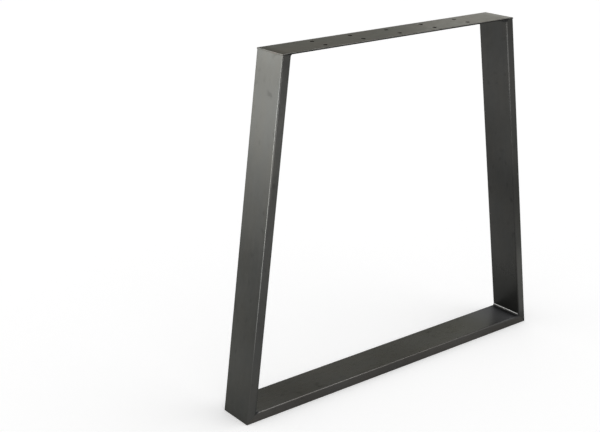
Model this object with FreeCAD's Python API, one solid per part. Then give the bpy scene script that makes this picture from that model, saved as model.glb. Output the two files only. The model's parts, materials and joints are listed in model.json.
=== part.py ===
import FreeCAD, Part
import math
import os

os.makedirs("parts", exist_ok=True)

Vector = FreeCAD.Vector

# Welded trapezoid table leg. Two posts of flat rectangular tube lean towards each other
# on a foot bar of the same tube, and carry a drilled flat strip that is screwed under a
# table top. The foot corners are mitred, and each inner corner is closed by a weld bead.
# The origin is on the floor, under the middle of the foot bar. X runs along the bar,
# Y across the wide side of the tube, and Z up. Sizes are in millimetres.

# Driving dimensions
height = 720.0              # from the floor to the upper face of the strip
top_width = 600.0           # across the outer faces of the posts, under the strip
foot_width = 786.0          # across the outer corners of the frame, on the floor
tube_depth = 80.0           # wide side of the tube, along Y
tube_thickness = 20.0       # narrow side of the tube
tube_wall = 2.0
tube_corner_radius = 2.5    # outside rounding of the tube's long edges
strip_thickness = 3.0
strip_edge_radius = 0.5     # rolled rounding of the strip's long edges
hole_diameter = 9.0
hole_columns = 5
hole_rows = 2
column_pitch = 93.0         # from hole to hole along X
row_pitch = 40.0            # from hole to hole along Y
bead_leg = 3.0              # from an inner corner to either toe of its weld bead
bead_crown = 0.4            # rise of the bead's face above the line between its toes
bead_end_gap = 0.5          # from an end of a bead to the near or far side of the tube

# Roundings, held within the walls that carry them
largest_share = 0.45        # most of a wall's thickness that a rounding may take
least_bore_radius = 0.5     # inside rounding of a tube whose wall is thicker than its corner
outer_radius = min(tube_corner_radius, largest_share * tube_thickness)
bore_radius = max(outer_radius - tube_wall, least_bore_radius)
strip_radius = min(strip_edge_radius, largest_share * strip_thickness)

# Lines of the right half of the frame, in the plane of X and Z
strip_underside = height - strip_thickness
lean = math.atan2((foot_width - top_width) / 2, strip_underside)
half_corner = (math.pi / 2 - lean) / 2
inwards = Vector(-1, 0, 0)
up_the_post = Vector(-math.sin(lean), 0, math.cos(lean))
out_of_the_post = Vector(math.cos(lean), 0, math.sin(lean))
along_mitre = Vector(-math.cos(half_corner), 0, math.sin(half_corner))
across_mitre = Vector(math.sin(half_corner), 0, math.cos(half_corner))
outer_foot_corner = Vector(foot_width / 2, 0, 0)
inner_foot_corner = outer_foot_corner + along_mitre * (tube_thickness / math.sin(half_corner))
inner_top_corner = Vector(top_width / 2 - tube_thickness / math.cos(lean), 0, strip_underside)
stock_length = height + foot_width + top_width


def rounded_bar(length, depth, thickness, radius):
    """Bar along X from the origin, centred on Y and standing on Z = 0, with rounded long edges."""
    bar = Part.makeBox(length, depth, thickness, Vector(0, -depth / 2, 0))
    long_edges = [edge for edge in bar.Edges if edge.BoundBox.XLength > length / 2]
    return bar.makeFillet(radius, long_edges)


def tube_outside(length):
    """The tube's outer form as a solid bar."""
    return rounded_bar(length, tube_depth, tube_thickness, outer_radius)


def tube_bore(length):
    """The hollow inside the tube, one wall in from every side."""
    bore_depth = tube_depth - 2 * tube_wall
    bore_thickness = tube_thickness - 2 * tube_wall
    bore = rounded_bar(length, bore_depth, bore_thickness, min(bore_radius, largest_share * bore_thickness))
    return bore.translated(Vector(0, 0, tube_wall))


def trimmed(shape, point, beyond):
    """Cut away all that lies past the plane through a point, on the side that beyond points to."""
    block = Part.makeBox(2 * stock_length, 2 * stock_length, 2 * stock_length)
    block.translate(Vector(-stock_length, -stock_length, 0))
    block.Placement = FreeCAD.Placement(point, FreeCAD.Rotation(Vector(0, 0, 1), beyond)) * block.Placement
    return shape.cut(block)


def mirrored(shape):
    """The same piece on the other side of the frame."""
    return shape.mirror(Vector(0, 0, 0), Vector(1, 0, 0))


def trimmed_at_both_ends(shape, beyond):
    """Cut both ends along slanted planes through the outer foot corners."""
    right_cut = trimmed(shape, outer_foot_corner, beyond)
    return mirrored(trimmed(mirrored(right_cut), outer_foot_corner, beyond))


def cut_foot_bar(stock):
    """Lay a length of stock on the floor and mitre both of its ends."""
    bar = stock.translated(Vector(-stock_length / 2, 0, 0))
    return trimmed_at_both_ends(bar, across_mitre)


def cut_right_post(stock):
    """Stand a length of stock on the right mitre, outer face outwards, and cut it level under the strip."""
    upright = FreeCAD.Rotation(Vector(0, 1, 0), -90 - math.degrees(lean))
    post = stock.copy()
    post.Placement = FreeCAD.Placement(outer_foot_corner, upright) * post.Placement
    mitred = trimmed(post, outer_foot_corner, across_mitre * -1)
    return trimmed(mitred, Vector(0, 0, strip_underside), Vector(0, 0, 1))


def hole_grid():
    """One cylinder for each screw hole of the strip, in rows and columns about its middle."""
    holes = []
    for column in range(hole_columns):
        for row in range(hole_rows):
            x = (column - (hole_columns - 1) / 2) * column_pitch
            y = (row - (hole_rows - 1) / 2) * row_pitch
            holes.append(Part.makeCylinder(hole_diameter / 2, strip_thickness, Vector(x, y, strip_underside)))
    return holes


def top_strip():
    """Drilled flat strip as wide as the tube, its ends flush with the sloping outer faces of the posts."""
    stock = rounded_bar(stock_length, tube_depth, strip_thickness, strip_radius)
    strip = stock.translated(Vector(-stock_length / 2, 0, strip_underside))
    return trimmed_at_both_ends(strip, out_of_the_post).cut(hole_grid())


def weld_bead(corner, first_face, second_face, root, neighbours):
    """Bead along Y in an inner corner, crowned between its toes on two faces.

    Its root lies behind the corner, so at both ends the bead also fills the notch
    that the rounded edges of the tubes leave, and narrows as they fall away.
    """
    first_toe = corner + first_face * bead_leg
    second_toe = corner + second_face * bead_leg
    middle = (first_toe + second_toe) * 0.5
    away_from_corner = (first_face + second_face).normalize()
    crown = middle + away_from_corner * bead_crown
    face_line = Part.Arc(first_toe, crown, second_toe).toShape()
    outline = Part.Wire([face_line, Part.makeLine(second_toe, root), Part.makeLine(root, first_toe)])
    length = tube_depth - 2 * bead_end_gap
    section = Part.Face(outline.translated(Vector(0, -length / 2, 0)))
    return section.extrude(Vector(0, length, 0)).cut(neighbours)


# Foot bar and posts, each an outer form less its bore
bar_outside = cut_foot_bar(tube_outside(stock_length))
post_outside = cut_right_post(tube_outside(stock_length))
foot_bar = bar_outside.cut(cut_foot_bar(tube_bore(stock_length)))
right_post = post_outside.cut(cut_right_post(tube_bore(stock_length)))

# Weld beads of the right half, at the foot and under the strip
foot_root = inner_foot_corner - along_mitre * (outer_radius / math.sin(half_corner))
foot_weld = weld_bead(inner_foot_corner, inwards, up_the_post, foot_root, [bar_outside, post_outside])
top_root = inner_top_corner - inwards * outer_radius
top_weld = weld_bead(inner_top_corner, inwards, up_the_post * -1, top_root, [post_outside])

pieces = {
    "top_strip": top_strip(),
    "foot_bar": foot_bar,
    "right_post": right_post,
    "left_post": mirrored(right_post),
    "right_foot_weld": foot_weld,
    "left_foot_weld": mirrored(foot_weld),
    "right_top_weld": top_weld,
    "left_top_weld": mirrored(top_weld),
}

for name, shape in pieces.items():
    shape.exportStep("parts/" + name + ".step")
    print(name, "solids", len(shape.Solids), "valid", shape.isValid(), "volume", round(shape.Volume, 1))
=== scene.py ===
import json
import math

import bpy
import numpy as np
from bpy.props import FloatProperty, FloatVectorProperty, PointerProperty
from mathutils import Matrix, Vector


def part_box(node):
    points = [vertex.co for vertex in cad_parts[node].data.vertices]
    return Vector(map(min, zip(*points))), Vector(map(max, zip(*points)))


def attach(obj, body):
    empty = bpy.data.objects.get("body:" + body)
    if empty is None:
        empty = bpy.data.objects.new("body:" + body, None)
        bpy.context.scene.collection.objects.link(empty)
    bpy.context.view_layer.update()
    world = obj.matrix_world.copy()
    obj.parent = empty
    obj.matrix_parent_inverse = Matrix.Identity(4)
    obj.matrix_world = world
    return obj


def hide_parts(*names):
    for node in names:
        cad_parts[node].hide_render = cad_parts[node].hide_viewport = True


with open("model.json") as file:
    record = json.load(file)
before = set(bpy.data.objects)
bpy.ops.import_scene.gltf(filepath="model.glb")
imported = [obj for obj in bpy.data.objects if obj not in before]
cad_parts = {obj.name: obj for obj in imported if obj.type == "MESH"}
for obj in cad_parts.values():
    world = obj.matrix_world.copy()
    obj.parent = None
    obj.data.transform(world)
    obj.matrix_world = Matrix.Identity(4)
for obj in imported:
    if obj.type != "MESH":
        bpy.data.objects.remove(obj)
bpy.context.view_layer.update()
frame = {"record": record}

bl_info = {
    "name": "Welded Table Leg",
    "version": (1, 0, 0),
    "blender": (4, 5, 0),
    "location": "View3D > Sidebar > Table Leg",
    "description": "Skins a welded trapezoid table leg in raw steel and sets it on a pale studio floor",
    "category": "Add Mesh",
}

# Lines of the leg, read from the frame, in metres
strip_low, strip_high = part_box("top_strip")
bar_low, bar_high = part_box("foot_bar")
HEIGHT = strip_high.z
TOP_WIDTH = strip_high.x - strip_low.x
FOOT_WIDTH = bar_high.x - bar_low.x
TUBE_DEPTH = bar_high.y - bar_low.y
TUBE_THICKNESS = bar_high.z - bar_low.z
STRIP_UNDERSIDE = strip_low.z
LEAN = math.atan2((FOOT_WIDTH - TOP_WIDTH) / 2, STRIP_UNDERSIDE)
HALF_CORNER = (math.pi / 2 - LEAN) / 2
ACROSS_TUBE = np.array([0.0, 1.0, 0.0])
MILLIMETRE = 0.001

# Edges that turn by more than this stay sharp in the shading
SHARP_ANGLE = math.radians(35)

# Roughness of each finish, the second number that of its painted shade, and on the foot bar that of its
# dull haze
POST_ROUGHNESS = (0.20, 0.40)
BAR_ROUGHNESS = (0.28, 0.56)
STRIP_ROUGHNESS = (0.32, 0.40)
WELD_ROUGHNESS = (0.28, 0.40)

# Colour of each finish's sheen at a glancing view, as a share of full white
TUBE_SHEEN = (0.56, 0.57, 0.535)
STRIP_SHEEN = (0.535, 0.53, 0.495)
WELD_SHEEN = (0.6, 0.6, 0.6)

# Where each tube's pattern of clouds starts along it, in metres. The clouds are random tone, and these
# starts put darker clouds where the steel's reflections are darker, as painted shade
PATTERN_STARTS = {"left_post": 1.85, "right_post": 0.0, "foot_bar": 2.59}

# Fineness of the strip's grids, along each side of a hole's cell and round each small edge
POINTS_A_SIDE = 12
EDGE_STEPS = 4

# The photograph's frame, in pixels
FRAME_WIDTH = 600
FRAME_HEIGHT = 432


# Sizes and colours that a user would change

class LegSizes(bpy.types.PropertyGroup):
    """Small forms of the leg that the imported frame's boxes don't give."""
    corner_radius: FloatProperty(
        name="Corner radius", description="Outside rounding of the tube's long edges",
        default=0.0025, min=0.0005, max=0.008, unit="LENGTH")
    wall: FloatProperty(
        name="Wall", description="Wall of the tube",
        default=0.002, min=0.0005, max=0.006, unit="LENGTH")
    bore_radius: FloatProperty(
        name="Bore radius", description="Inside rounding of the tube's long edges",
        default=0.0005, min=0.0001, max=0.004, unit="LENGTH")
    dressed_corner: FloatProperty(
        name="Dressed corner", description="Rounding that the grinder leaves on the outer foot corners",
        default=0.0012, min=0.0002, max=0.003, unit="LENGTH")
    strip_edge: FloatProperty(
        name="Strip edge", description="Rolled rounding of the strip's outer edges",
        default=0.0005, min=0.0001, max=0.0012, unit="LENGTH")
    hole_edge: FloatProperty(
        name="Hole edge", description="Rounding of the screw holes' rims",
        default=0.0003, min=0.0001, max=0.001, unit="LENGTH")
    bead_leg: FloatProperty(
        name="Bead leg", description="From an inner corner to a toe of its weld bead",
        default=0.003, min=0.001, max=0.006, unit="LENGTH")
    bead_rise: FloatProperty(
        name="Bead rise", description="How far a foot bead reaches up its post",
        default=0.0045, min=0.001, max=0.006, unit="LENGTH")
    bead_crown: FloatProperty(
        name="Bead crown", description="Rise of a bead above the line between its toes",
        default=0.0003, min=0.0, max=0.001, unit="LENGTH")
    bead_end_gap: FloatProperty(
        name="Bead end gap", description="From an end of a bead to the near or far side of the tube",
        default=0.0005, min=0.0001, max=0.003, unit="LENGTH")
    ripple_pitch: FloatProperty(
        name="Ripple pitch", description="From one weld ripple to the next",
        default=0.0016, min=0.0005, max=0.005, unit="LENGTH")
    ripple_height: FloatProperty(
        name="Ripple height", description="Height of the weld ripples",
        default=0.00014, min=0.0, max=0.0004, unit="LENGTH")
    # Painted shade: how far each post's inner face is darkened up from its foot bead
    post_painted_shade: FloatProperty(
        name="Post painted shade",
        description="How far the dark scorched scale spreads up a post from its foot bead",
        default=0.10, min=0.001, max=0.3, unit="LENGTH")
    left_haze: FloatProperty(
        name="Left haze",
        description="How far the dull heat haze spreads along the foot bar from its left bead",
        default=0.004, min=0.001, max=0.2, unit="LENGTH")
    right_haze: FloatProperty(
        name="Right haze",
        description="How far the dull heat haze spreads along the foot bar from its right bead",
        default=0.075, min=0.001, max=0.2, unit="LENGTH")
    # Painted shade: how far each post's inner face is darkened down from its top bead
    top_painted_shade: FloatProperty(
        name="Top painted shade", description="How far the scorched scale spreads down a post from its top bead",
        default=0.001, min=0.001, max=0.03, unit="LENGTH")
    # Painted shade: black along the toes of the beads, in the corners' shade
    narrow_toe_shade: FloatProperty(
        name="Narrow toe shade", description="How far the black soot spreads from the toes of most beads",
        default=0.002, min=0.001, max=0.03, unit="LENGTH")
    wide_toe_shade: FloatProperty(
        name="Wide toe shade",
        description="How far the black soot spreads along the foot bar from its right bead",
        default=0.012, min=0.001, max=0.03, unit="LENGTH")


class LegFinish(bpy.types.PropertyGroup):
    """Colours and strengths of the steel's finish."""
    left_post_colour: FloatVectorProperty(
        name="Left post steel", description="Blackened steel of the left post",
        subtype="COLOR", default=(0.0540, 0.0545, 0.0522), min=0.0, max=1.0)
    # Painted shade: a darker copy of the post steel, standing in for the darker reflections on the right
    # post
    right_post_shaded_colour: FloatVectorProperty(
        name="Right post steel", description="Slightly darker blackened steel of the right post",
        subtype="COLOR", default=(0.0452, 0.0454, 0.0438), min=0.0, max=1.0)
    bar_colour: FloatVectorProperty(
        name="Bar steel", description="Slightly browner blackened steel of the foot bar",
        subtype="COLOR", default=(0.0553, 0.0538, 0.0514), min=0.0, max=1.0)
    tube_tint: FloatVectorProperty(
        name="Tube tint",
        description="Second shade that drifts through a tube's steel, as a multiple of its colour",
        default=(1.030, 1.010, 0.985), min=0.0, max=2.0)
    strip_colour: FloatVectorProperty(
        name="Strip steel", description="Warm grey of the flat strip",
        subtype="COLOR", default=(0.0474, 0.0492, 0.0460), min=0.0, max=1.0)
    strip_tint: FloatVectorProperty(
        name="Strip tint", description="Browner shade of the rolling marks in the strip",
        subtype="COLOR", default=(0.0538, 0.0482, 0.0444), min=0.0, max=1.0)
    # Bead metal, lighter than bare weld metal so that it draws a painted highlight line in each foot corner
    foot_weld_metal_and_highlight: FloatVectorProperty(
        name="Foot weld metal and highlight", description="Brushed bright metal of the beads in the foot corners",
        subtype="COLOR", default=(0.300, 0.300, 0.291), min=0.0, max=1.0)
    top_weld_colour: FloatVectorProperty(
        name="Top weld metal", description="Dull metal of the beads under the strip",
        subtype="COLOR", default=(0.070, 0.070, 0.067), min=0.0, max=1.0)
    # Painted highlight: bright steel along the strip's upper edges, drawn as a highlight line
    edge_highlight_colour: FloatVectorProperty(
        name="Edge highlight", description="Bare steel where the strip's edges have been rubbed bright",
        subtype="COLOR", default=(0.140, 0.137, 0.130), min=0.0, max=1.0)
    # Painted shade in the strip's holes and on its long sides
    strip_shade_colour: FloatVectorProperty(
        name="Strip side", description="Dark scale in the strip's holes and on its long sides",
        subtype="COLOR", default=(0.0075, 0.0070, 0.0065), min=0.0, max=1.0)
    # Painted shade colour, for the posts' inner faces beside the beads and for the beads' lower halves
    painted_shade_colour: FloatVectorProperty(
        name="Painted Shade And Haze", description="Dark scale beside the beads",
        subtype="COLOR", default=(0.016, 0.016, 0.015), min=0.0, max=1.0)
    haze_colour: FloatVectorProperty(
        name="Haze", description="Dull blue grey of the heated foot bar",
        subtype="COLOR", default=(0.064, 0.0655, 0.068), min=0.0, max=1.0)
    # Painted shade: black along the beads' toes, in the corners' shade
    toe_shade_colour: FloatVectorProperty(
        name="Toe shade", description="Black of the soot along the beads' toes",
        subtype="COLOR", default=(0.006, 0.006, 0.007), min=0.0, max=1.0)
    clouding: FloatProperty(
        name="Clouding", description="Strength of the broad soft clouds in the mill scale",
        subtype="FACTOR", default=0.20, min=0.0, max=1.0)
    mottling: FloatProperty(
        name="Mottling", description="Strength of the faint smudges in the mill scale",
        subtype="FACTOR", default=0.042, min=0.0, max=1.0)
    streaking: FloatProperty(
        name="Streaking", description="Strength of the fine lines along each piece",
        subtype="FACTOR", default=0.035, min=0.0, max=1.0)


class StageSettings(bpy.types.PropertyGroup):
    """Floor, light and background of the studio."""
    floor_colour: FloatVectorProperty(
        name="Floor", description="Pale studio floor",
        subtype="COLOR", default=(0.90, 0.90, 0.90), min=0.0, max=1.0)
    sky_light: FloatProperty(
        name="Sky light", description="Strength of the even light from all around",
        default=0.64, min=0.0, max=3.0)
    sun_light: FloatProperty(
        name="Sun light", description="Strength of the wide soft lamp in front on the right",
        default=0.75, min=0.0, max=3.0)
    floor_lift: FloatProperty(
        name="Floor lift", description="White added to the floor where the camera or a reflection sees it",
        subtype="FACTOR", default=0.27, min=0.0, max=1.0)


# Surfaces worked out on grids

def rounded_loop(depth, thickness, inset, radius, wide_steps, narrow_steps, arc_steps):
    """Outline of a rounded rectangle across the tube.

    Quarter circles of the given radius at the four corners are joined by straight sides
    whose points crowd towards the corners. The columns are the place across the depth,
    which is centred, and across the thickness, which starts at inset.
    """
    half = depth / 2 - radius
    near = inset + radius
    far = inset + thickness - radius
    centres = np.array([[half, near], [half, far], [-half, far], [-half, near]])
    points = []
    for corner in range(4):
        turn = np.radians(90 * corner - 90 + np.linspace(0, 90, arc_steps + 1))
        arc = centres[corner] + radius * np.stack([np.cos(turn), np.sin(turn)], axis=1)
        steps = narrow_steps if corner % 2 == 0 else wide_steps
        start = arc[-1]
        end = centres[(corner + 1) % 4] + start - centres[corner]
        share = crowded(steps)[1:-1, None]
        points += [arc, start + share * (end - start)]
    return np.concatenate(points)


def crowded(count):
    """Shares from 0 to 1 that crowd towards both ends, as the cosine of an even turn does."""
    return 0.5 - 0.5 * np.cos(np.pi * np.arange(count + 1) / count)


def grid_faces(rows, columns, close_rows, close_columns):
    """Quads of a grid whose points are numbered row by row, joined round where it is closed."""
    row = np.arange(rows if close_rows else rows - 1)[:, None]
    column = np.arange(columns if close_columns else columns - 1)[None, :]
    next_row = (row + 1) % rows
    next_column = (column + 1) % columns
    corners = [row * columns + column, row * columns + next_column,
               next_row * columns + next_column, next_row * columns + column]
    return np.stack(corners, axis=-1).reshape(-1, 4)


def turned_inside_out(points, quads):
    """Whether the faces point inwards.

    The volume that they enclose, summed over half quads, is then negative.
    """
    first, second, third, fourth = np.moveaxis((points - points.mean(axis=0))[quads], 1, 0)
    doubled_areas = np.cross(second - first, third - first) + np.cross(third - first, fourth - first)
    return np.sum(first * doubled_areas) < 0


def new_piece(name, points, quads, caps, masks, material, stands_for):
    """Mesh piece in place of a CAD node, from points, quads and any end caps, with point masks."""
    step = -1 if turned_inside_out(points, quads) else 1
    faces = [list(face[::step]) for face in [*quads.tolist(), *caps]]
    mesh = bpy.data.meshes.new(name)
    mesh.from_pydata(points.tolist(), [], faces)
    for mask_name, values in masks.items():
        mask = mesh.attributes.new(mask_name, "FLOAT", "POINT")
        mask.data.foreach_set("value", np.asarray(values, np.float32).ravel())
    mesh.shade_smooth()
    mesh.set_sharp_from_angle(angle=SHARP_ANGLE)
    mesh.materials.append(material)
    mesh.validate()
    piece = bpy.data.objects.new(name, mesh)
    bpy.context.scene.collection.objects.link(piece)
    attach(piece, "root")
    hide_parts(stands_for)
    return piece


def dress_foot_corners(points, radius):
    """Round the outer foot corners.

    What lies past a circle that touches both outer faces is drawn in to that circle.
    """
    least_reach = 1e-9
    for side in (-1, 1):
        into_frame = np.array([-side * math.cos(HALF_CORNER), 0, math.sin(HALF_CORNER)])
        corner = np.array([side * FOOT_WIDTH / 2, 0, 0])
        centre = corner + into_frame * radius / math.sin(HALF_CORNER)
        offset = (points - centre) * [1, 0, 1]
        reach = np.maximum(np.linalg.norm(offset, axis=-1, keepdims=True), least_reach)
        towards_corner = -(offset @ into_frame)[..., None] / reach
        past = (reach > radius) & (towards_corner > math.sin(HALF_CORNER))
        points = np.where(past, points - offset * (1 - radius / reach), points)
    return points


def tube_surface(origin, along, inwards, cuts, painted_shades_and_hazes, toe_shade_reaches, sizes):
    """Hollow tube between two slanted cuts, its outline carried along it outside and back along the bore.

    A point at share f of the way, at depth a and thickness t, is
    origin + s * along + a * across + t * inwards, with s between the two cuts' places for that t.
    Both masks lie on the inner quarter of the thickness. The painted shade and haze mask fades from
    each end's bead as that end's own function of the distance from the bead's toe says, and the
    painted light mask, painted shade along the toes, falls off as a bell curve over each end's reach.
    """
    length_steps = 96
    wide_steps = 20
    narrow_steps = 8
    arc_steps = 8
    mask_start = 0.75
    outside = rounded_loop(TUBE_DEPTH, TUBE_THICKNESS, 0, sizes.corner_radius,
                           wide_steps, narrow_steps, arc_steps)
    bore = rounded_loop(TUBE_DEPTH - 2 * sizes.wall, TUBE_THICKNESS - 2 * sizes.wall, sizes.wall,
                        sizes.bore_radius, wide_steps, narrow_steps, arc_steps)
    shares = crowded(length_steps)
    rows = [(outside, share) for share in shares] + [(bore, 1.0), (bore, 0.0)]
    loops = np.array([loop for loop, _ in rows])
    share = np.array([share for _, share in rows])[:, None]
    first, last = (cut(loops[..., 1]) for cut in cuts)
    place = first + share * (last - first)
    points = origin + place[..., None] * along + loops[..., :1] * ACROSS_TUBE + loops[..., 1:] * inwards
    points = dress_foot_corners(points, sizes.dressed_corner)
    inner_side = np.clip((loops[..., 1] / TUBE_THICKNESS - mask_start) / (1 - mask_start), 0, 1)
    from_corners = (place - first, last - place)
    from_toes = [np.maximum(distance - sizes.bead_leg, 0) for distance in from_corners]
    painted_shade_and_haze = np.maximum(*[fade(distance) for fade, distance in zip(painted_shades_and_hazes, from_toes)])
    # Painted shade along the beads' toes, falling off as a bell curve
    painted_light = np.maximum(*[np.exp(-(distance / toe_shade_reach) ** 2) for toe_shade_reach, distance in zip(toe_shade_reaches, from_toes)])
    quads = grid_faces(*loops.shape[:2], close_rows=True, close_columns=True)
    return points.reshape(-1, 3), quads, {"painted_shade_and_haze": inner_side * painted_shade_and_haze, "painted_light": inner_side * painted_light}


def screw_holes():
    """Places of the strip's holes along X and Y, and their radius, from the record's bolt patterns."""
    mounts = frame["record"]["mounts"]
    patterns = [mount["dims"] for mount in mounts if mount["kind"] == "bolt_pattern"]
    halves = (-MILLIMETRE / 2, MILLIMETRE / 2)
    columns = sorted({half * dims.get("spacing_x_mm", 0) for dims in patterns for half in halves})
    rows = sorted({half * dims["spacing_y_mm"] for dims in patterns for half in halves})
    return np.array(columns), np.array(rows), patterns[0]["hole_r_mm"] * MILLIMETRE


def rounded_drop(radius, steps):
    """Quarter circle from a flat face down to a side: how far out it goes, and how far down, below zero."""
    turn = np.linspace(0, math.pi / 2, steps + 1)
    return radius * np.sin(turn), radius * np.cos(turn) - radius


def cell_lines(places, half_size):
    """Lines halfway between neighbouring holes, and at both ends of the strip's flat face."""
    return np.concatenate([[-half_size], (places[1:] + places[:-1]) / 2, [half_size]])


def with_heights(flat, level):
    """Points of a flat grid, each row of them at its own level."""
    heights = np.broadcast_to(level, (*flat.shape[:2], 1))
    return np.concatenate([flat, heights], axis=2).reshape(-1, 3)


def hole_cells(columns, rows, hole_radius, x_lines, y_lines, sizes):
    """Polar grid of each hole, from the upper face through the hole to the lower face.

    Each hole has a rectangular cell. A point of its grid is c + u * (b - c), where b goes
    round the cell's sides, c goes round the hole in step with it, a quarter turn for each side,
    and u falls from 1 to 0 over the upper face, stays 0 through the hole, and rises to 1 below.
    """
    face_steps = 7
    face_crowding = 1.5
    share = np.arange(POINTS_A_SIDE) / POINTS_A_SIDE
    start = np.zeros(POINTS_A_SIDE)
    end = np.ones(POINTS_A_SIDE)
    round_cell = np.concatenate([np.stack(side, axis=1) for side in (
        (end, share), (1 - share, end), (start, 1 - share), (share, start))])
    turn = np.radians(-45 + 360 * np.arange(len(round_cell)) / len(round_cell))
    round_hole = np.stack([np.cos(turn), np.sin(turn)], axis=1)

    out, down = rounded_drop(sizes.hole_edge, EDGE_STEPS)
    spread = np.linspace(1, 0, face_steps + 1)[:-1] ** face_crowding
    upper_spread = np.concatenate([spread, np.zeros(len(out))])
    upper_bore = hole_radius + sizes.hole_edge - np.concatenate([np.zeros(len(spread)), out])
    upper_level = HEIGHT + np.concatenate([np.zeros(len(spread)), down])
    mirror_level = HEIGHT + STRIP_UNDERSIDE
    cell_spread = np.concatenate([upper_spread, upper_spread[::-1]])[:, None, None]
    bore = np.concatenate([upper_bore, upper_bore[::-1]])[:, None, None]
    level = np.concatenate([upper_level, (mirror_level - upper_level)[::-1]])[:, None, None]

    quads = grid_faces(len(level), len(turn), close_rows=False, close_columns=True)
    cells = []
    for column, x in enumerate(columns):
        for row, y in enumerate(rows):
            low = np.array([x_lines[column], y_lines[row]])
            high = np.array([x_lines[column + 1], y_lines[row + 1]])
            circle = np.array([x, y]) + bore * round_hole
            flat = circle + cell_spread * (low + round_cell * (high - low) - circle)
            cells.append((with_heights(flat, level), quads))
    return cells


def strip_rim(x_lines, y_lines, sizes):
    """Rim of the strip: a profile of quarter circle, side and quarter circle, carried round its outline."""
    half_length = x_lines[-1]
    half_depth = y_lines[-1]
    share = np.arange(POINTS_A_SIDE) / POINTS_A_SIDE
    xs = np.concatenate([low + share * (high - low) for low, high in zip(x_lines, x_lines[1:])])
    ys = np.concatenate([low + share * (high - low) for low, high in zip(y_lines, y_lines[1:])])
    back_xs = np.concatenate([[half_length], xs[:0:-1]])
    back_ys = np.concatenate([[half_depth], ys[:0:-1]])
    outline = np.concatenate([
        np.stack([np.full(len(ys), half_length), ys], axis=1),
        np.stack([back_xs, np.full(len(xs), half_depth)], axis=1),
        np.stack([np.full(len(ys), -half_length), back_ys], axis=1),
        np.stack([xs, np.full(len(xs), -half_depth)], axis=1)])
    limits = np.array([half_length, half_depth])
    outwards = (outline >= limits).astype(float) - (outline <= -limits).astype(float)
    out, down = rounded_drop(sizes.strip_edge, EDGE_STEPS)
    rim_out = np.concatenate([out, out[::-1]])[:, None, None]
    rim_level = np.concatenate([HEIGHT + down, (STRIP_UNDERSIDE - down)[::-1]])[:, None, None]
    flat = outline + rim_out * outwards
    quads = grid_faces(*flat.shape[:2], close_rows=False, close_columns=True)
    return with_heights(flat, rim_level), quads[:, ::-1]


def joined(blocks):
    """One grid from several, with points that lie within a ten-thousandth of a millimetre merged."""
    grain = 1e-7
    starts = np.cumsum([0] + [len(points) for points, _ in blocks])
    points = np.concatenate([points for points, _ in blocks])
    quads = np.concatenate([quads + start for (_, quads), start in zip(blocks, starts)])
    _, first, where = np.unique(np.round(points / grain), axis=0, return_index=True, return_inverse=True)
    return points[first], where.reshape(-1)[quads]


def strip_surface(sizes):
    """Drilled strip: a polar grid round each hole, above and below, and a rounded rim round the whole.

    The ends' points move inwards in step with their height, so that the ends slope as the posts do,
    and the ends' lower edges move out to the posts' faces. The painted shade mask darkens the holes
    and the long sides, and the painted highlight mask peaks in the middle of the upper rounded edges,
    as a bright highlight line along them.
    """
    shade_falloff = 3
    columns, rows, hole_radius = screw_holes()
    half_length = TOP_WIDTH / 2 - sizes.strip_edge
    half_depth = TUBE_DEPTH / 2 - sizes.strip_edge
    x_lines = cell_lines(columns, half_length)
    y_lines = cell_lines(rows, half_depth)
    cells = hole_cells(columns, rows, hole_radius, x_lines, y_lines, sizes)
    points, quads = joined([*cells, strip_rim(x_lines, y_lines, sizes)])

    x, y, z = points.T
    depth = np.minimum(HEIGHT - z, z - STRIP_UNDERSIDE)
    at_end = np.abs(x) > half_length - sizes.strip_edge / 2
    at_side = np.abs(y) > half_depth - sizes.strip_edge / 2
    round_edge = np.clip(depth / sizes.strip_edge, 0, 1)
    lower_half = z < (HEIGHT + STRIP_UNDERSIDE) / 2
    # Painted highlight along the middle of the upper rounded edges, and painted shade in the holes and on
    # the long sides
    painted_highlight = 4 * round_edge * (1 - round_edge) * (at_end | at_side) * ~lower_half
    side_shade = np.where(lower_half, 1, round_edge ** shade_falloff)
    scale = np.where(at_side, side_shade, np.clip(depth / sizes.hole_edge, 0, 1)) * ~at_end
    flush = np.where(at_end & lower_half, np.sign(x) * TOP_WIDTH / 2, x)
    slanted = flush - np.sign(x) * at_end * (z - STRIP_UNDERSIDE) * math.tan(LEAN)
    return np.stack([slanted, y, z], axis=1), quads, {"painted_shade_and_haze": scale, "painted_light": painted_highlight}


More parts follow.
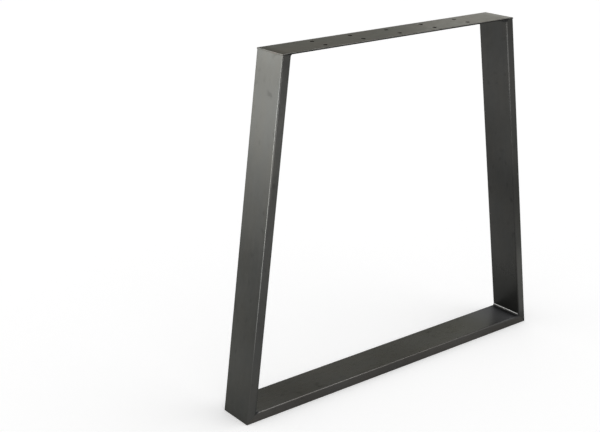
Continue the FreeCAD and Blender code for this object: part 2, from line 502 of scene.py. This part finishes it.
def bead_surface(corner, first_face, second_face, first_falls, second_falls, reach, sizes):
    """Rippled weld bead along Y in the corner between two faces that fall away at the tubes' edges.

    Across the bead, at share t from toe to toe, a point is the corner
    + leg * (1 - t) * first_face + reach * t * second_face + (crown + ripple) * 4 t (1 - t) * bisector.
    A ripple is the size of the sine of half turns along Y, held back in the middle so that it bows.
    The corner moves back as far as the faces fall, which first_falls and second_falls switch on with
    1 and off with 0, and the legs shorten in a quarter ellipse to each end. The back runs from the
    second toe to the corner and on to the first toe. The painted shade mask covers the half beside the
    first face and both ends, and fades out past the middle, so the half beside the second face stays
    bright.
    """
    points_a_ripple = 8
    points_across = 13
    ripple_lag = 0.6
    least_share = 0.4
    bright_from = 0.56
    bright_rise = 0.22
    end = TUBE_DEPTH / 2 - sizes.bead_end_gap
    ripples = round(2 * end / sizes.ripple_pitch)
    y = np.linspace(-end, end, ripples * points_a_ripple + 1)[:, None, None]
    radius = sizes.corner_radius
    past_edge = np.clip(np.abs(y) - (TUBE_DEPTH / 2 - radius), 0, radius)
    fall = radius - np.sqrt(radius ** 2 - past_edge ** 2)
    run_out = np.clip(1 - (end - np.abs(y)) / radius, 0, 1)
    size = np.sqrt(1 - (1 - least_share ** 2) * run_out ** 2)
    first_leg = sizes.bead_leg * size * first_face
    second_leg = reach * size * second_face

    corner_sine = np.linalg.norm(np.cross(first_face, second_face))
    bisector = (first_face + second_face) / np.linalg.norm(first_face + second_face)
    fall_line = -(second_falls * first_face + first_falls * second_face) / corner_sine
    foot = corner + y * ACROSS_TUBE + fall * fall_line

    t = np.linspace(0, 1, points_across)[None, :, None]
    bow = 4 * t * (1 - t)
    ripple = np.abs(np.sin(math.pi * (y / sizes.ripple_pitch - ripple_lag * bow)))
    rise = (sizes.bead_crown + sizes.ripple_height * ripple) * bow * size
    face = foot + (1 - t) * first_leg + t * second_leg + rise * bisector
    back_share = np.array([2, 1, 0, 0, 0])[None, :, None] / 3
    front_share = np.array([0, 0, 0, 1, 2])[None, :, None] / 3
    back = foot + back_share * second_leg + front_share * first_leg

    points = np.concatenate([face, back], axis=1)
    rows, columns = points.shape[:2]
    # Painted shade over the half beside the first face and at the ends, leaving a bright line on the half
    # against the post
    bright_half = np.clip((t - bright_from) / bright_rise, 0, 1)
    bright_length = np.clip((end - np.abs(y)) / sizes.bead_leg, 0, 1)
    all_shaded = np.ones((len(y), back.shape[1], 1))
    painted_shade_and_haze = np.concatenate([1 - bright_half * bright_length, all_shaded], axis=1)
    quads = grid_faces(rows, columns, close_rows=False, close_columns=True)
    caps = [list(range(columns))[::-1], list(range((rows - 1) * columns, rows * columns))]
    return points.reshape(-1, 3), quads, caps, {"painted_shade_and_haze": painted_shade_and_haze}


# Finishes

def add_node(nodes, kind, **values):
    """Shader node with some of its settings and unlinked inputs set by name."""
    node = nodes.new(kind)
    for key, value in values.items():
        if hasattr(node, key):
            setattr(node, key, value)
        else:
            node.inputs[key.replace("_", " ")].default_value = value
    return node


def add_skin_sockets(sockets):
    """Named inputs and outputs of the group that breaks up a steel colour."""
    sockets.new_socket("Along", in_out="INPUT", socket_type="NodeSocketVector")
    for name in ("Colour", "Tint", "Painted Shade And Haze Colour", "Painted Light Colour"):
        sockets.new_socket(name, in_out="INPUT", socket_type="NodeSocketColor")
    for name in ("Roughness", "Painted Shade And Haze Roughness", "Clouding", "Mottling", "Streaking", "Painted Shade And Haze", "Painted Light"):
        sockets.new_socket(name, in_out="INPUT", socket_type="NodeSocketFloat")
    sockets.new_socket("Colour", in_out="OUTPUT", socket_type="NodeSocketColor")
    for name in ("Roughness", "Metallic", "Height"):
        sockets.new_socket(name, in_out="OUTPUT", socket_type="NodeSocketFloat")


def steel_skin_group():
    """Group that breaks up a steel colour with clouds, smudges, streaks and spots.

    Where the masks say so, it also blends in painted shade, which on the foot bar is a dull haze, and
    narrow painted light: shade along the beads' toes, and on the strip a highlight along its edges.
    """
    if "steel_skin" in bpy.data.node_groups:
        return bpy.data.node_groups["steel_skin"]
    spot_threshold = 0.145
    spot_strength = 0.34
    contrast = 4.0
    drift_contrast = 3.0
    smudge_roughness = 0.10
    streak_roughness = 0.06
    streak_height = 0.4
    group = bpy.data.node_groups.new("steel_skin", "ShaderNodeTree")
    add_skin_sockets(group.interface)
    nodes, links = group.nodes, group.links
    enter = nodes.new("NodeGroupInput")
    leave = nodes.new("NodeGroupOutput")

    def stretched_noise(scale, detail, roughness):
        """Noise drawn out along the piece, as a number about zero."""
        stretch = nodes.new("ShaderNodeVectorMath")
        stretch.operation = "MULTIPLY"
        stretch.inputs[1].default_value = scale
        links.new(enter.outputs["Along"], stretch.inputs[0])
        noise = add_node(nodes, "ShaderNodeTexNoise", Scale=1.0, Detail=detail, Roughness=roughness)
        links.new(stretch.outputs[0], noise.inputs["Vector"])
        return calculate("SUBTRACT", noise.outputs["Fac"], 0.5)

    def calculate(operation, first, second):
        """One sum of two values, each a socket or a plain number."""
        node = nodes.new("ShaderNodeMath")
        node.operation = operation
        for socket, value in zip(node.inputs, (first, second)):
            if isinstance(value, (int, float)):
                socket.default_value = value
            else:
                links.new(value, socket)
        return node.outputs[0]

    def blend(kind, factor, first, second):
        """Mix of two colours or two values by a factor."""
        node = nodes.new("ShaderNodeMix")
        node.data_type = kind
        sockets_of_kind = [socket for socket in node.inputs if socket.enabled]
        for socket, value in zip(sockets_of_kind, (factor, first, second)):
            links.new(value, socket)
        return next(socket for socket in node.outputs if socket.enabled)

    # Each noise by its scales, the last one along the piece, its detail and its roughness
    clouds = stretched_noise((6, 6, 5), 1, 0.4)
    smudges = stretched_noise((90, 90, 60), 3, 0.5)
    drifts = stretched_noise((30, 30, 14), 2, 0.5)
    streaks = stretched_noise((220, 220, 6), 4, 0.65)
    spots = stretched_noise((75, 75, 55), 1, 0.4)
    dark_spots = calculate("MAXIMUM", calculate("SUBTRACT", spots, spot_threshold), 0.0)
    cloud_part = calculate("MULTIPLY", clouds, enter.outputs["Clouding"])
    smudge_part = calculate("MULTIPLY", smudges, enter.outputs["Mottling"])
    streak_part = calculate("MULTIPLY", streaks, enter.outputs["Streaking"])
    spot_part = calculate("MULTIPLY", dark_spots, spot_strength)
    fine_change = calculate("SUBTRACT", calculate("ADD", smudge_part, streak_part), spot_part)
    change = calculate("ADD", cloud_part, fine_change)
    level = calculate("ADD", calculate("MULTIPLY", change, contrast), 1.0)
    drift = calculate("ADD", calculate("MULTIPLY", drifts, drift_contrast), 0.5)
    shade = blend("RGBA", drift, enter.outputs["Colour"], enter.outputs["Tint"])
    broken = nodes.new("ShaderNodeVectorMath")
    broken.operation = "SCALE"
    links.new(shade, broken.inputs[0])
    links.new(level, broken.inputs["Scale"])
    # Blend in painted shade (on the foot bar, its dull haze), then narrow painted light: shade along the
    # toes, and on the strip a highlight along its edges
    painted_shade_and_haze = enter.outputs["Painted Shade And Haze"]
    with_painted_shade_and_haze = blend("RGBA", painted_shade_and_haze, broken.outputs[0], enter.outputs["Painted Shade And Haze Colour"])
    with_painted_light = blend("RGBA", enter.outputs["Painted Light"], with_painted_shade_and_haze, enter.outputs["Painted Light Colour"])
    links.new(with_painted_light, leave.inputs["Colour"])
    smudge_change = calculate("MULTIPLY", smudges, smudge_roughness)
    streak_change = calculate("MULTIPLY", streaks, streak_roughness)
    rough_change = calculate("ADD", smudge_change, streak_change)
    rough = calculate("ADD", enter.outputs["Roughness"], rough_change)
    links.new(blend("FLOAT", painted_shade_and_haze, rough, enter.outputs["Painted Shade And Haze Roughness"]), leave.inputs["Roughness"])
    links.new(calculate("SUBTRACT", 1.0, painted_shade_and_haze), leave.inputs["Metallic"])
    height = calculate("ADD", calculate("MULTIPLY", streaks, streak_height), smudges)
    links.new(height, leave.inputs["Height"])
    return group


def steel_material(name, turn, start, colours, roughness, unevenness, grazing):
    """Raw steel whose streaks run along a piece.

    Turn is the angle about Y that lays Z along the piece, and start is where on Z its pattern starts.
    Colours are the steel's own, its second shade, its painted shade (on the foot bar, its dull haze) and
    its narrow painted light (shade along the toes, on the strip highlights). Roughness is that of the steel
    and of the painted shade or haze. Unevenness is the strength of its clouds, smudges and streaks, and
    grazing is the colour of its sheen at a glancing view.
    """
    material = bpy.data.materials.new(name)
    material.use_nodes = True
    nodes, links = material.node_tree.nodes, material.node_tree.links
    shader = nodes["Principled BSDF"]
    coordinates = nodes.new("ShaderNodeTexCoord")
    mapping = nodes.new("ShaderNodeMapping")
    mapping.inputs["Rotation"].default_value = (0, turn, 0)
    mapping.inputs["Location"].default_value = (0, 0, start)
    skin = nodes.new("ShaderNodeGroup")
    skin.node_tree = steel_skin_group()
    for socket, colour in zip(("Colour", "Tint", "Painted Shade And Haze Colour", "Painted Light Colour"), colours):
        skin.inputs[socket].default_value = (*colour, 1)
    for socket, value in zip(("Roughness", "Painted Shade And Haze Roughness"), roughness):
        skin.inputs[socket].default_value = value
    for socket, value in zip(("Clouding", "Mottling", "Streaking"), unevenness):
        skin.inputs[socket].default_value = value
    # Masks of painted shade and haze, and of narrow painted light
    for mask, socket in (("painted_shade_and_haze", "Painted Shade And Haze"), ("painted_light", "Painted Light")):
        attribute = add_node(nodes, "ShaderNodeAttribute", attribute_name=mask)
        links.new(attribute.outputs["Fac"], skin.inputs[socket])
    bump = add_node(nodes, "ShaderNodeBump", Strength=0.1, Distance=0.0002)
    links.new(coordinates.outputs["Object"], mapping.inputs["Vector"])
    links.new(mapping.outputs["Vector"], skin.inputs["Along"])
    links.new(skin.outputs["Colour"], shader.inputs["Base Color"])
    links.new(skin.outputs["Roughness"], shader.inputs["Roughness"])
    links.new(skin.outputs["Metallic"], shader.inputs["Metallic"])
    links.new(skin.outputs["Height"], bump.inputs["Height"])
    links.new(bump.outputs["Normal"], shader.inputs["Normal"])
    shader.inputs["Specular IOR Level"].default_value = 0.15
    shader.inputs["Specular Tint"].default_value = (*grazing, 1)
    return material


def tube_steel(tube, turn, roughness, colour, painted_shade_and_haze, finish):
    """Blackened tube steel, satin, with soft clouds and faint smudges."""
    second_shade = [part * tint for part, tint in zip(colour, finish.tube_tint)]
    colours = (colour, second_shade, painted_shade_and_haze, finish.toe_shade_colour)
    unevenness = (finish.clouding, finish.mottling, finish.streaking)
    start = PATTERN_STARTS[tube]
    return steel_material(tube + "_steel", turn, start, colours, roughness, unevenness, TUBE_SHEEN)


def strip_steel(name, finish):
    """Warm flat bar with clear rolling marks along it."""
    # The second colours are painted shade in the holes and on the long sides, and a painted highlight on
    # the upper edges
    colours = (finish.strip_colour, finish.strip_tint, finish.strip_shade_colour, finish.edge_highlight_colour)
    rolling_marks = 5 * finish.streaking
    unevenness = (0.0, finish.mottling, rolling_marks)
    return steel_material(name, math.pi / 2, 0, colours, STRIP_ROUGHNESS, unevenness, STRIP_SHEEN)


def weld_metal(name, colour, finish):
    """Rippled bead metal, with painted shade on the half away from the post and at its ends."""
    colours = (colour, colour, finish.painted_shade_colour, finish.toe_shade_colour)
    coarse_mottling = 2 * finish.mottling
    unevenness = (0.0, coarse_mottling, 0.0)
    return steel_material(name, 0, 0, colours, WELD_ROUGHNESS, unevenness, WELD_SHEEN)


# Operators, one for each piece or group of like pieces

class TABLELEG_OT_tubes(bpy.types.Operator):
    """Skin the two posts and the foot bar"""
    bl_idname = "table_leg.tubes"
    bl_label = "Tubes"

    def execute(self, context):
        sizes = context.scene.table_leg_sizes
        finish = context.scene.table_leg_finish
        set_back = 1 / math.tan(HALF_CORNER)

        def mitre(thickness):
            """Start of a tube along its slanted cut, at a place across the thickness."""
            return thickness * set_back

        def under_strip(thickness):
            """End of a post, level under the strip, at a place across the thickness."""
            return (STRIP_UNDERSIDE + thickness * math.sin(LEAN)) / math.cos(LEAN)

        def far_mitre(thickness):
            """End of the foot bar along its other slanted cut, at such a place."""
            return FOOT_WIDTH - thickness * set_back

        def up_the_post(distance):
            """Painted shade that dies away exponentially from the foot bead."""
            return np.exp(-distance / sizes.post_painted_shade)

        def down_the_post(distance):
            """Painted shade that dies away exponentially from the top bead."""
            return np.exp(-distance / sizes.top_painted_shade)

        def left_haze(distance):
            """Haze that falls off as a bell curve from the left bead."""
            return np.exp(-(distance / sizes.left_haze) ** 2)

        def right_haze(distance):
            """Haze that falls off as a bell curve from the right bead."""
            return np.exp(-(distance / sizes.right_haze) ** 2)

        for side, name, colour in ((-1, "left_post", finish.left_post_colour),
                                   (1, "right_post", finish.right_post_shaded_colour)):
            origin = np.array([side * FOOT_WIDTH / 2, 0, 0])
            along = np.array([-side * math.sin(LEAN), 0, math.cos(LEAN)])
            inwards = np.array([-side * math.cos(LEAN), 0, -math.sin(LEAN)])
            points, quads, masks = tube_surface(origin, along, inwards, (mitre, under_strip),
                                                (up_the_post, down_the_post),
                                                (sizes.narrow_toe_shade, sizes.narrow_toe_shade), sizes)
            steel = tube_steel(name, side * LEAN, POST_ROUGHNESS, colour, finish.painted_shade_colour, finish)
            new_piece(name + "_skin", points, quads, [], masks, steel, name)

        origin = np.array([-FOOT_WIDTH / 2, 0, 0])
        along = np.array([1.0, 0, 0])
        inwards = np.array([0, 0, 1.0])
        points, quads, masks = tube_surface(origin, along, inwards, (mitre, far_mitre),
                                            (left_haze, right_haze),
                                            (sizes.narrow_toe_shade, sizes.wide_toe_shade), sizes)
        steel = tube_steel("foot_bar", math.pi / 2, BAR_ROUGHNESS, finish.bar_colour,
                           finish.haze_colour, finish)
        new_piece("foot_bar_skin", points, quads, [], masks, steel, "foot_bar")
        return {"FINISHED"}


class TABLELEG_OT_strip(bpy.types.Operator):
    """Make the drilled strip"""
    bl_idname = "table_leg.strip"
    bl_label = "Strip"

    def execute(self, context):
        points, quads, masks = strip_surface(context.scene.table_leg_sizes)
        steel = strip_steel("strip_steel", context.scene.table_leg_finish)
        new_piece("top_strip_skin", points, quads, [], masks, steel, "top_strip")
        return {"FINISHED"}


class TABLELEG_OT_welds(bpy.types.Operator):
    """Lay a rippled bead in each inner corner"""
    bl_idname = "table_leg.welds"
    bl_label = "Welds"

    def execute(self, context):
        sizes = context.scene.table_leg_sizes
        finish = context.scene.table_leg_finish
        foot_metal = weld_metal("foot_weld_metal", finish.foot_weld_metal_and_highlight, finish)
        top_metal = weld_metal("top_weld_metal", finish.top_weld_colour, finish)
        for side, name in ((-1, "left"), (1, "right")):
            inwards = np.array([-side, 0.0, 0.0])
            up_the_post = np.array([-side * math.sin(LEAN), 0, math.cos(LEAN)])
            along_mitre = np.array([-side * math.cos(HALF_CORNER), 0, math.sin(HALF_CORNER)])
            outer_corner = np.array([side * FOOT_WIDTH / 2, 0, 0])
            foot_corner = outer_corner + along_mitre * TUBE_THICKNESS / math.sin(HALF_CORNER)
            top_x = TOP_WIDTH / 2 - TUBE_THICKNESS / math.cos(LEAN)
            top_corner = np.array([side * top_x, 0, STRIP_UNDERSIDE])
            foot_bead = bead_surface(foot_corner, inwards, up_the_post, first_falls=1, second_falls=1,
                                     reach=sizes.bead_rise, sizes=sizes)
            top_bead = bead_surface(top_corner, inwards, -up_the_post, first_falls=0, second_falls=1,
                                    reach=sizes.bead_leg, sizes=sizes)
            for node, bead, metal in ((name + "_foot_weld", foot_bead, foot_metal),
                                      (name + "_top_weld", top_bead, top_metal)):
                points, quads, caps, masks = bead
                new_piece(node + "_bead", points, quads, caps, masks, metal, node)
        return {"FINISHED"}


class TABLELEG_OT_stage(bpy.types.Operator):
    """Lay the floor, hang the lights and set the camera"""
    bl_idname = "table_leg.stage"
    bl_label = "Stage"

    def execute(self, context):
        settings = context.scene.table_leg_stage
        lay_floor(settings)
        light_sky(settings)
        hang_lamps(settings)
        set_camera()
        context.scene.view_settings.view_transform = "Standard"
        return {"FINISHED"}


def seen_rays(nodes, links):
    """1 for rays from the camera, a reflection or glass, 0 for light that falls on a surface."""
    path = nodes.new("ShaderNodeLightPath")
    first = add_node(nodes, "ShaderNodeMath", operation="MAXIMUM")
    second = add_node(nodes, "ShaderNodeMath", operation="MAXIMUM")
    links.new(path.outputs["Is Camera Ray"], first.inputs[0])
    links.new(path.outputs["Is Glossy Ray"], first.inputs[1])
    links.new(first.outputs[0], second.inputs[0])
    links.new(path.outputs["Is Transmission Ray"], second.inputs[1])
    return second.outputs[0]


def lay_floor(settings):
    """Wide pale floor that keeps the shadow, lifted towards white where it is seen."""
    half = 20.0
    mesh = bpy.data.meshes.new("floor")
    corners = [(-half, -half, 0), (half, -half, 0), (half, half, 0), (-half, half, 0)]
    mesh.from_pydata(corners, [], [(0, 1, 2, 3)])
    floor = bpy.data.objects.new("floor", mesh)
    bpy.context.scene.collection.objects.link(floor)
    material = bpy.data.materials.new("studio_floor")
    material.use_nodes = True
    nodes, links = material.node_tree.nodes, material.node_tree.links
    nodes.remove(nodes["Principled BSDF"])
    matt = nodes.new("ShaderNodeBsdfDiffuse")
    matt.inputs["Color"].default_value = (*settings.floor_colour, 1)
    glow = nodes.new("ShaderNodeEmission")
    lift = add_node(nodes, "ShaderNodeMath", operation="MULTIPLY")
    lift.inputs[1].default_value = settings.floor_lift
    both = nodes.new("ShaderNodeAddShader")
    links.new(seen_rays(nodes, links), lift.inputs[0])
    links.new(lift.outputs[0], glow.inputs["Strength"])
    links.new(matt.outputs[0], both.inputs[0])
    links.new(glow.outputs[0], both.inputs[1])
    links.new(both.outputs[0], nodes["Material Output"].inputs["Surface"])
    mesh.materials.append(material)


def light_sky(settings):
    """Even sky: white where it is seen, and the set strength where it lights the object."""
    world = bpy.data.worlds.new("studio")
    bpy.context.scene.world = world
    world.use_nodes = True
    nodes, links = world.node_tree.nodes, world.node_tree.links
    strength = nodes.new("ShaderNodeMix")
    strength.inputs[2].default_value = settings.sky_light
    strength.inputs[3].default_value = 1.0
    links.new(seen_rays(nodes, links), strength.inputs[0])
    nodes["Background"].inputs["Color"].default_value = (1, 1, 1, 1)
    links.new(strength.outputs[0], nodes["Background"].inputs["Strength"])


def hang_lamp(name, lamp, place, target):
    """Put a lamp at a place, out of the camera's sight, and turn it to a target."""
    hung = bpy.data.objects.new(name, lamp)
    hung.location = place
    hung.rotation_euler = (Vector(target) - Vector(place)).to_track_quat("-Z", "Y").to_euler()
    hung.visible_camera = False
    bpy.context.scene.collection.objects.link(hung)
    return hung


def sheen_panel(name, place, target, width, height, brightness):
    """Rectangular lamp that shows only in the sheen of the steel: brightness 1 is as white as the floor."""
    lamp = bpy.data.lights.new(name, "AREA")
    lamp.shape = "RECTANGLE"
    lamp.size = width
    lamp.size_y = height
    lamp.energy = brightness * math.pi * width * height
    hang_lamp(name, lamp, place, target).visible_diffuse = False


def hang_lamps(settings):
    """Wide soft sun in front on the right, and panels that draw the sheen.

    The panels behind on the left light the left post's outer face, more towards its top. The other
    three on the left draw that post's bright near edge, the one on the floor its lower end. The one
    behind on the right lights the strip. Those in front draw the bright edges of the right post and
    the foot bar, and the one on the floor there lightens the right post's foot.
    """
    sun_width = math.radians(70)
    sun = bpy.data.lights.new("soft_sun", "SUN")
    sun.energy = settings.sun_light
    sun.angle = sun_width
    hang_lamp("soft_sun", sun, (1.2, -1.8, 2.6), (0, 0, 0))

    panel_count = 9
    panel_height = 0.15
    least_brightness = 0.2
    brightness_a_metre = 7.0
    for step in range(panel_count):
        level = (step + 0.5) * panel_height
        place = (-1.40, 1.35, level)
        brightness = brightness_a_metre * level + least_brightness
        sheen_panel(f"left_back_{step}", place, (-0.35, 0, level), 0.7, panel_height, brightness)

    # Each panel's place, target, width, height and brightness
    sheen_panel("left_side", (-2.0, -0.65, 0.40), (-0.35, 0, 0.40), 0.9, 0.78, 12.0)
    sheen_panel("right_back", (5.26, 3.24, 1.60), (0.3, 0, 0.72), 3.2, 0.96, 1.62)
    sheen_panel("front_overhead", (0.925, -0.95, 1.55), (0.925, 0, 0.60), 0.85, 0.7, 8.0)
    sheen_panel("front_low", (0.20, -1.5, 0.20), (0.20, 0, 0.20), 0.6, 0.4, 6.0)
    sheen_panel("front_floor", (0.60, -0.22, 0.002), (0.60, -0.22, 1.0), 0.40, 0.28, 0.6)
    sheen_panel("left_quarter", (-2.0, 0.62, 0.56), (-0.35, 0, 0.56), 0.6, 0.44, 12.0)
    sheen_panel("left_floor", (-1.28, -0.48, 0.002), (-1.28, -0.48, 1.0), 0.60, 0.60, 4.5)


def set_camera():
    """Camera at the photograph's place, aim and field of view, its axis off the frame's middle."""
    place = Vector((-1.5620, -1.7460, 1.1718))
    yaw = 0.6636
    pitch = 0.3181
    focal_pixels = 1200.1
    axis_x, axis_y = 314.1, 184.8
    aim = Vector((math.sin(yaw) * math.cos(pitch), math.cos(yaw) * math.cos(pitch), -math.sin(pitch)))
    camera = bpy.data.cameras.new("camera")
    camera.sensor_fit = "HORIZONTAL"
    camera.lens = focal_pixels * camera.sensor_width / FRAME_WIDTH
    camera.shift_x = (FRAME_WIDTH / 2 - axis_x) / FRAME_WIDTH
    camera.shift_y = (axis_y - FRAME_HEIGHT / 2) / FRAME_WIDTH
    viewer = bpy.data.objects.new("camera", camera)
    viewer.location = place
    viewer.rotation_euler = aim.to_track_quat("-Z", "Y").to_euler()
    bpy.context.scene.collection.objects.link(viewer)
    bpy.context.scene.camera = viewer


class TABLELEG_PT_panel(bpy.types.Panel):
    """Sizes, colours and builders of the table leg"""
    bl_idname = "TABLELEG_PT_panel"
    bl_label = "Table Leg"
    bl_space_type = "VIEW_3D"
    bl_region_type = "UI"
    bl_category = "Table Leg"

    def draw(self, context):
        scene = context.scene
        for group in (scene.table_leg_sizes, scene.table_leg_finish, scene.table_leg_stage):
            box = self.layout.box()
            for name in group.__annotations__:
                box.prop(group, name)
        for operator in OPERATORS:
            self.layout.operator(operator.bl_idname)


OPERATORS = (TABLELEG_OT_tubes, TABLELEG_OT_strip, TABLELEG_OT_welds, TABLELEG_OT_stage)
CLASSES = (LegSizes, LegFinish, StageSettings, *OPERATORS, TABLELEG_PT_panel)


def register():
    """Register the classes, and hang the settings on the scene."""
    for each in CLASSES:
        bpy.utils.register_class(each)
    bpy.types.Scene.table_leg_sizes = PointerProperty(type=LegSizes)
    bpy.types.Scene.table_leg_finish = PointerProperty(type=LegFinish)
    bpy.types.Scene.table_leg_stage = PointerProperty(type=StageSettings)


def unregister():
    """Take the settings and the classes away again."""
    del bpy.types.Scene.table_leg_stage
    del bpy.types.Scene.table_leg_finish
    del bpy.types.Scene.table_leg_sizes
    for each in reversed(CLASSES):
        bpy.utils.unregister_class(each)


def main():
    """Build the leg and its stage."""
    register()
    bpy.ops.table_leg.tubes()
    bpy.ops.table_leg.strip()
    bpy.ops.table_leg.welds()
    bpy.ops.table_leg.stage()


if __name__ == "__main__":
    main()
